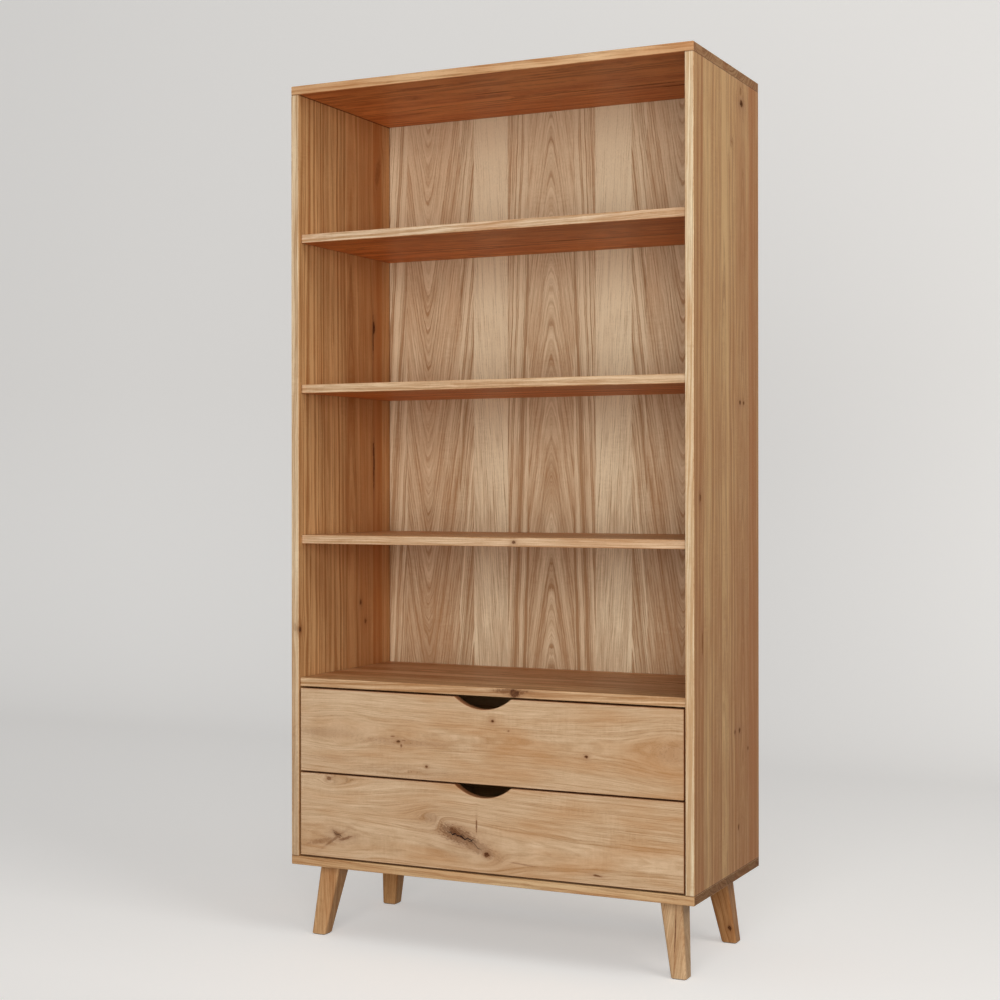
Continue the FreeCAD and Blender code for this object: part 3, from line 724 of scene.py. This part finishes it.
leg_looks = {
    "leg_front_left": {"pale": (0.73, 0.455, 0.230), "deep": (0.38, 0.175, 0.066)},
    "leg_front_right": {"pale": (0.735, 0.525, 0.310), "deep": (0.39, 0.210, 0.095),
                        "marks": [mark(96, 440, 100, 2.4, 0.9, bend=0.5)]},
    "leg_rear_left": {"pale": (0.75, 0.435, 0.195), "deep": (0.39, 0.165, 0.055)},
    "leg_rear_right": {"pale": (0.60, 0.325, 0.140), "deep": (0.31, 0.125, 0.040),
                       "marks": [mark(38, 455, 16, 10, 1.0)]}}
for number, (name, look) in enumerate(leg_looks.items()):
    wood = stave(0.5, 0.16, 1.6 - 2.2 * (number % 2), 0.0, 60, 3.0, seed=0.2 * number + 0.1)
    oak_board(name, "ZXY", ([], [wood]), streaks=1.9, ripple=1.2, wander=4.0, streak_width=2.4, tone=0.02,
              **look)


# ------------------------ leg bolts and inserts
# Each leg is held by an M8 stud glued into its top, which screws up into a threaded insert in the bottom
# panel. Stud and insert are steel with bright zinc plate over rolled threads.

def plated_steel_group():
    """Zinc plate on steel: cloudy bloom, fine lines along the rolling, and dull spots.

    The place is in metres, and Stretch gives how fine the pattern is along x, y and z.
    """
    group, got, give = new_group("plated_steel", {"Place": "place", "Stretch": "place", "Bright": "colour",
                                                  "Dull": "colour", "Gloss": "number"},
                                 {"Colour": "colour", **numbers("Roughness", "Height")})
    darkening = (0.20, 0.18, 0.16)
    lines = noise(scaled(got["Place"], got["Stretch"]), 3.0, 0.6)
    bloom = noise(scaled(got["Place"], (70.0, 70.0, 70.0)), 3.0, 0.55)
    spots = ease(noise(scaled(got["Place"], (420.0, 420.0, 420.0)), 2.0), 0.60, 0.74)
    share = (bloom - 0.5) * 2.0 + ((lines - 0.5) * 0.9 + 0.42)
    share = calc("MINIMUM", calc("MAXIMUM", share, 0.0), 1.0)
    colour = blend_colour(share, got["Bright"], got["Dull"])
    put_out(give, Colour=blend_colour(spots * 0.35, colour, darkening),
            Roughness=spots * 0.18 + ((lines - 0.5) * 0.22 + got["Gloss"]), Height=spots * -0.5 + lines)
    return group


plated_steel = plated_steel_group()


def steel(name, bright, dull, gloss, stretch):
    """A metal finish: colours, roughness and the run of its fine lines."""
    material, tree, shader = new_material(name, gloss, metallic=1.0)
    look = use_group(tree, plated_steel, Place=object_place(tree), Stretch=stretch, Bright=bright,
                     Dull=dull, Gloss=gloss)
    finish(shader, look["Colour"], look["Roughness"], look["Height"], strength=0.35, depth=0.00003)
    return material


def tube_faces(rows, columns):
    """Faces of a grid that closes round each row, with a pole before the first row and one after the last
    row."""
    quads = sweep_faces(rows, columns, True) + 1
    ring = np.arange(columns)
    beside = (ring + 1) % columns
    last = 1 + (rows - 1) * columns
    start = np.stack([np.zeros(columns, int), beside + 1, ring + 1], -1)
    end = np.stack([np.full(columns, last + columns), last + ring, last + beside], -1)
    return [*quads.tolist(), *start.tolist(), *end.tolist()]


def turned(radius, height):
    """A closed turned form. Rows of radii and heights run from the lowest pole to the top one: a point of a
    row at the angle phi is (radius * cos phi, radius * sin phi, height)."""
    angle = np.arange(radius.shape[1]) * 2 * math.pi / radius.shape[1]
    ring = np.stack([radius * np.cos(angle), radius * np.sin(angle), height], -1).reshape(-1, 3)
    return np.concatenate([[[0.0, 0.0, height[0].mean()]], ring, [[0.0, 0.0, height[-1].mean()]]])


def thread_rows(core, ridge, pitch, low, high, columns, per_turn=6):
    """Rows of a threaded shank: the radius is the core's plus the ridge's height times a rounded wave of
    height / pitch - angle / 360 degrees, fading to the core at both ends."""
    height = np.linspace(low, high, max(2, int(round((high - low) / pitch * per_turn))) + 1)[:, None]
    turn = np.arange(columns)[None] / columns
    wave = (0.5 + 0.5 * np.cos(2 * math.pi * (height / pitch - turn))) ** 1.4
    fade = np.clip(np.minimum(height - low, high - height) / pitch, 0.0, 1.0)
    radius = core + (ridge - core) * wave * fade
    return radius, np.broadcast_to(height, radius.shape)


def even_rows(rows, columns):
    """Radii and heights of plain round rows, each given as a radius and a height."""
    return [np.repeat(np.array(rows)[:, part, None], columns, axis=1) for part in (0, 1)]


def joined_copies(points, faces, places):
    """The same form at several places, each given as a 3 by 3 turn and a shift."""
    all_points = np.concatenate([points @ np.asarray(turn).T + np.asarray(shift) for turn, shift in places])
    all_faces = [[i + copy * len(points) for i in face] for copy in range(len(places)) for face in faces]
    return all_points, all_faces


def fit_piece(name, form, places, material, body, stands_for=None):
    """Puts copies of a form at their places, as one piece that rides on a body and may stand for a node."""
    piece = grid_mesh(name, *joined_copies(*form, places))
    piece.data.materials.append(material)
    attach(piece, body)
    if stands_for:
        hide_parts(stands_for)


UPRIGHT = np.eye(3)
bolt_x = 0.426
bolt_y = 0.144
bolt_low = 0.142
bolt_high = 0.182
bolt_chamfer = 0.0008
bolt_tip = 0.0029
insert_low = 0.170
insert_high = 0.183
insert_bore = 0.0043
insert_core = 0.0050
insert_ridge = 0.0060
bolt_places = [(UPRIGHT, (x, y, 0.0)) for x in (-bolt_x, bolt_x) for y in (-bolt_y, bolt_y)]
zinc = steel("bright_zinc", (0.74, 0.76, 0.79), (0.50, 0.52, 0.55), gloss=0.30,
             stretch=(500.0, 500.0, 30.0))


def bolt_form(columns=24):
    """A stud: thread along its whole length and a chamfer at both ends."""
    thread = thread_rows(core=0.0034, ridge=0.0040, pitch=0.00125, low=bolt_low + bolt_chamfer,
                         high=bolt_high - bolt_chamfer, columns=columns)
    foot = even_rows([(bolt_tip, bolt_low)], columns)
    head = even_rows([(bolt_tip, bolt_high)], columns)
    radius, height = (np.concatenate(rows) for rows in zip(foot, thread, head))
    return turned(radius, height), tube_faces(*radius.shape)


def insert_form(columns=28):
    """A sleeve with a coarse outer thread: up the outside from the lower rim and down the bore again, so
    the rows close on themselves."""
    foot = even_rows([(insert_bore, insert_low), (insert_ridge, insert_low),
                      (insert_ridge, insert_low + 0.0010)], columns)
    thread = thread_rows(core=insert_core, ridge=insert_ridge, pitch=0.0030, low=insert_low + 0.0012,
                         high=insert_high - 0.0006, columns=columns)
    head = even_rows([(insert_core, insert_high), (insert_bore - 0.0001, insert_high - 0.0004)], columns)
    radius, height = (np.concatenate(rows) for rows in zip(foot, thread, head))
    rows = len(radius)
    ring = np.arange(columns)
    beside = (ring + 1) % columns
    last = (rows - 1) * columns
    bore = np.stack([last + ring, last + beside, beside, ring], -1)
    return turned(radius, height)[1:-1], [*sweep_faces(rows, columns, True).tolist(), *bore.tolist()]


fit_piece("leg_bolts_threaded", bolt_form(), bolt_places, zinc, "carcass", "leg_bolts")
fit_piece("leg_inserts_threaded", insert_form(), bolt_places, zinc, "carcass", "leg_inserts")


# ------------------------ felt pads
# Four squares of pressed wool felt, stuck under the feet. Their edges are soft and a little uneven.

pad_half = 0.016
pad_thick = 0.0025
pad_x = 0.450
pad_y = 0.170
squareness = 9


def pad_form(columns=48):
    """A square with round corners: at the angle phi the outline is half / (|cos|^9 + |sin|^9)^(1/9),
    narrowed row by row so that the rim is round."""
    angle = np.arange(columns) * 2 * math.pi / columns
    corner = np.abs(np.cos(angle)) ** squareness + np.abs(np.sin(angle)) ** squareness
    outline = pad_half / corner ** (1 / squareness)
    outline = outline * (1.0 - 0.006 * (1 + np.sin(7 * angle) * np.cos(4 * angle)))
    share, height = even_rows([
        (0.5, 0.0), (0.95, 0.0), (0.985, 0.0003), (1.0, 0.0008), (1.0, 0.0018), (0.985, 0.0023),
        (0.95, pad_thick), (0.5, pad_thick)], columns)
    return turned(share * outline, height), tube_faces(*share.shape)


felt, tree, shader = new_material("pressed_felt", 0.95, specular=0.15)
feed(shader.inputs["Sheen Weight"], 0.35)
feed(shader.inputs["Sheen Roughness"], 0.6)
place = object_place(tree)
fuzz = noise(scaled(place, (1900.0, 1900.0, 1900.0)), 4.0, 0.7, 1.6)
mottle = noise(scaled(place, (240.0, 240.0, 240.0)), 2.0)
felt_colour = blend_colour((mottle - 0.5) * 0.8 + fuzz, (0.17, 0.115, 0.075), (0.42, 0.33, 0.24))
finish(shader, felt_colour, 0.95, fuzz, strength=0.7, depth=0.0003)
pad_places = [(UPRIGHT, (x, y, 0.0)) for x in (-pad_x, pad_x) for y in (-pad_y, pad_y)]
fit_piece("felt_pads_pressed", pad_form(), pad_places, felt, "carcass", "felt_pads")


# ------------------------ drawer slides
# Four ball slides of rolled strip: a rail on the side, one on the drawer and one between them. The balls
# run in two rows of pressed cages, outside and inside the middle rail. The rails are zinc-plated, and the
# cages and balls are bare steel.

rail_zinc = steel("rolled_zinc", (0.72, 0.745, 0.775), (0.47, 0.49, 0.52), gloss=0.34,
                  stretch=(700.0, 9.0, 700.0))
cage_strip = steel("cage_strip", (0.60, 0.60, 0.60), (0.36, 0.36, 0.37), gloss=0.40,
                   stretch=(600.0, 12.0, 600.0))
ball_steel = steel("ball_steel", (0.86, 0.87, 0.88), (0.70, 0.71, 0.73), gloss=0.12,
                   stretch=(300.0, 300.0, 300.0))
slide_finishes = {"cabinet_rail": rail_zinc, "middle_rail": rail_zinc, "drawer_rail": rail_zinc,
                  "outer_cage": cage_strip, "inner_cage": cage_strip}
for level in ("lower", "upper"):
    for hand in ("left", "right"):
        for part, slide_finish in slide_finishes.items():
            dress(f"{level}_{hand}_{part}", slide_finish)

ball_radius = 0.0016
slide_heights = {"lower": 0.261, "upper": 0.4585}
ball_steps = np.arange(6) * 0.030 - 0.077
ball_rows = {"outer": (0.4735, 0.0198), "inner": (0.4748, 0.0154)}


def ball_form(columns=10, rows=5):
    """A sphere: the angle from the pole goes in equal steps, and the rows stop short of both poles."""
    tilt = -math.pi / 2 + math.pi * np.arange(1, rows + 1)[:, None] / (rows + 1)
    points = turned(ball_radius * np.cos(tilt) * np.ones((1, columns)),
                    ball_radius * np.sin(tilt) * np.ones((1, columns)))
    points[0] = (0.0, 0.0, -ball_radius)
    points[-1] = (0.0, 0.0, ball_radius)
    return points, tube_faces(rows, columns)


for level, middle in slide_heights.items():
    for ring, (aside, above) in ball_rows.items():
        ball_places = [(UPRIGHT, (side * aside, y, middle + step * above))
                       for side in (-1, 1) for step in (-1, 1) for y in ball_steps]
        fit_piece(f"{level}_{ring}_balls", ball_form(), ball_places, ball_steel, f"{level}_{ring}_cages")


# ------------------------ screws
# Yellow zinc-plated chipboard screws with a cross recess: short ones hold the rails to the sides and to the
# drawer boxes, long ones hold the drawer fronts from inside the boxes.

screw_core = 0.0013
screw_ridge = 0.0018
screw_head = 0.0036


def screw_form(length, head_height, pitch, columns=24):
    """A screw that points down from its head's base at height 0.

    From the tip up: a point, the thread, the flat under the head, the domed head, and a cross recess whose
    outline is the larger of min(arm, half width / |sin|) and min(arm, half width / |cos|).
    """
    angle = np.arange(columns) * 2 * math.pi / columns
    thread = thread_rows(screw_core, screw_ridge, pitch, -length + 0.0022, -0.0002, columns, 5)
    arm = screw_head * 0.56
    half_width = screw_head * 0.13
    sine = np.maximum(np.abs(np.sin(angle)), 1e-6)
    cosine = np.maximum(np.abs(np.cos(angle)), 1e-6)
    cross = np.maximum(np.minimum(arm, half_width / sine), np.minimum(arm, half_width / cosine))
    tip = even_rows([(0.15 * screw_core, -length + 0.0002), (0.6 * screw_core, -length + 0.0012)], columns)
    dome = even_rows([(screw_head * share, head_height * rise) for share, rise in (
        (0.97, 0.0), (1.0, 0.12), (0.97, 0.45), (0.86, 0.75), (0.70, 0.93))], columns)
    share, recess_height = even_rows([
        (1.0, head_height), (0.92, head_height * 0.45), (0.45, head_height * 0.05)], columns)
    recess = (cross * share, recess_height)
    radius, height = (np.concatenate(rows) for rows in zip(tip, thread, dome, recess))
    return turned(radius, height), tube_faces(*radius.shape)


def driven(direction):
    """The turn that takes a form that points down to one that points in the direction."""
    up = -np.asarray(direction, float)
    aside = np.array([0.0, 0.0, 1.0])
    return np.stack([aside, np.cross(up, aside), up], -1)


yellow_zinc = steel("yellow_zinc", (0.78, 0.66, 0.38), (0.60, 0.58, 0.46), gloss=0.32,
                    stretch=(500.0, 500.0, 500.0))
rail_screw = screw_form(length=0.011, head_height=0.0012, pitch=0.0016)
front_screw = screw_form(length=0.028, head_height=0.0022, pitch=0.0018)
rail_screw_y = (-0.167, 0.163)
carcass_head_x = 0.479
drawer_head_x = 0.4683
front_screw_x = 0.3473
front_head_y = -0.189
front_screw_heights = {"lower": (0.241, 0.311), "upper": (0.4385, 0.5085)}
screw_sets = {"carcass_rail_screws": ("carcass", rail_screw, [
    (driven((side, 0, 0)), (side * carcass_head_x, y, z))
    for side in (-1, 1) for y in rail_screw_y for z in slide_heights.values()])}
for level, z in slide_heights.items():
    screw_sets[level + "_rail_screws"] = (level + "_drawer", rail_screw, [
        (driven((-side, 0, 0)), (side * drawer_head_x, y, z)) for side in (-1, 1) for y in rail_screw_y])
    screw_sets[level + "_front_screws"] = (level + "_drawer", front_screw, [
        (driven((0, -1, 0)), (x, front_head_y, height))
        for x in (-front_screw_x, front_screw_x) for height in front_screw_heights[level]])
for node, (body, form, places) in screw_sets.items():
    fit_piece(node + "_threaded", form, places, yellow_zinc, body, node)


# ------------------------ drawer boxes
# Two boxes of thin oak, dovetailed at their corners: the tails are on the sides and their end grain shows
# at the front and rear. The birch plywood bottom stands in a groove on all four sides.

BOX_STAVE_WIDTH = 90.0
PLIES = 5
BIRCH_PALE = (0.84, 0.66, 0.43)
BIRCH_DEEP = (0.64, 0.44, 0.25)
CROSS_PLY = (0.36, 0.22, 0.12)
birch_plywood, tree, shader = new_material("birch_plywood", 0.42, specular=0.4)
ply_low, ply_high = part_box("lower_box_bottom")
coordinates = add_node(tree, "TexCoord")
axes = apart(Wire(coordinates, "Object"))
peeled = use_group(tree, growth_rings, Along=axes["X"] * MILLIMETRES, Across=axes["Y"] * MILLIMETRES,
                   Depth=0.0, Pith_Across=0.0, Pith_Depth=900.0, Lean=0.03, Ring_Width=3.2, Wander=30.0,
                   Ripple=4.0, Streak_Width=4.0, Seed=4.0)
ply_share = (peeled["Streaks"] - 0.5) * 0.5 + ((peeled["Bands"] - 0.5) * 0.8 + 0.4)
layer = calc("FRACT", axes["Z"] * (PLIES / 2 / (ply_high[2] - ply_low[2])))
on_edge = ease(abs(apart(Wire(coordinates, "Normal"))["Z"]), 0.6, 0.4)
ply_colour = blend_colour(calc("GREATER_THAN", layer, 0.5) * on_edge * 0.6,
                          blend_colour(ply_share, BIRCH_PALE, BIRCH_DEEP), CROSS_PLY)
finish(shader, ply_colour, peeled["Fibre"] * 0.14 + 0.36, peeled["Fibre"], strength=0.4, depth=0.0001)
box_walls = {"left": ("YZX", 61), "right": ("YZX", 62), "front": ("XZY", 63), "back": ("XZY", 64)}
for level in ("lower", "upper"):
    for part, (order, seed) in box_walls.items():
        oak_board(f"{level}_box_{part}", order, (seed, BOX_STAVE_WIDTH), tone=0.1)
    dress(level + "_box_bottom", birch_plywood)


# ------------------------ drawer fronts
# Two knotty boards with the grain running across, each with a shallow round scoop in its top edge for the
# fingers. Screws from inside the box hold them.

# The narrow faces, ends and scoops of the fronts are darkened: painted shade for the gaps round them.
front_look = {"pale": (0.77, 0.556, 0.360), "deep": (0.42, 0.234, 0.104), "reddish": (0.55, 0.265, 0.10),
              "bands": 0.8, "streaks": 1.25, "ripple": 1.8, "streak_width": 1.9, "patches": 1.6,
              "foot": -0.25, "darkening": 0.8}
upper_wood = ([], [stave(0.5, 0.10, 0.51, 0.0, 44, 2.3, line=0.20, seed=0.31)])
lower_wood = ([], [stave(0.5, 0.10, 0.30, 0.008, 60, 2.5, line=0.20, seed=0.77)])
oak_board("upper_front", "XZY", upper_wood, marks=[
    mark(25, 535, 8, 7, 1.0), mark(-215, 475, 13, 7, 0.85, crack=0.5), mark(-229, 486, 12, 4, 0.5),
    mark(-207, 466, 5, 9, 0.65), mark(-200, 478, 14, 4, 0.45), mark(-141, 422, 8, 7, 0.85),
    mark(252, 470, 9, 7, 1.0), mark(65, 515, 6, 5, 0.5), mark(-362, 490, 60, 36, 0.06, bend=2.5),
    mark(455, 489, 90, 56, 0.14, bend=3.0), mark(-400, 484, 200, 26, 0.15, bend=0.4),
    mark(-200, 474, 300, 20, 0.16, bend=0.3), mark(-400, 423, 180, 16, 0.11, bend=0.3),
    mark(-190, 408, 320, 30, 0.12, bend=0.3)],
    wander=4.0, **front_look)
oak_board("lower_front", "XZY", lower_wood, marks=[
    mark(-399, 378, 15, 11, 0.65), mark(-372, 378, 90, 30, 0.06, bend=2.5),
    mark(-62, 274, 112, 46, 0.60, bend=1.4, slope=-0.26),
    mark(-16, 252, 120, 36, 0.40, bend=0.6, slope=-0.35),
    mark(-52, 271, 80, 30, 0.0, crack=1.0, bend=0.3, slope=-0.22),
    mark(-66, 278, 46, 20, 0.85, bend=0.3, slope=-0.5),
    mark(-30, 262, 60, 16, 0.5, crack=0.8, bend=0.3, slope=-0.6), mark(-15, 298, 4, 34, 0.7, bend=0.3),
    mark(11, 236, 16, 13, 1.0), mark(-133, 308, 60, 24, 0.22, bend=0.5),
    mark(-376, 249, 30, 16, 0.6, crack=0.6, slope=-0.4), mark(-356, 241, 44, 8, 0.6, bend=0.5, slope=0.3),
    mark(-384, 238, 60, 9, 0.5, bend=0.5, slope=0.7), mark(-412, 232, 110, 14, 0.32, bend=0.5, slope=0.22),
    mark(-364, 246, 120, 40, 0.12, bend=0.5), mark(277, 214, 24, 5, 0.8, bend=0.5, slope=-0.08),
    mark(100, 222, 80, 4, 0.35, bend=0.5, slope=-0.08)],
    wander=5.0, **front_look)
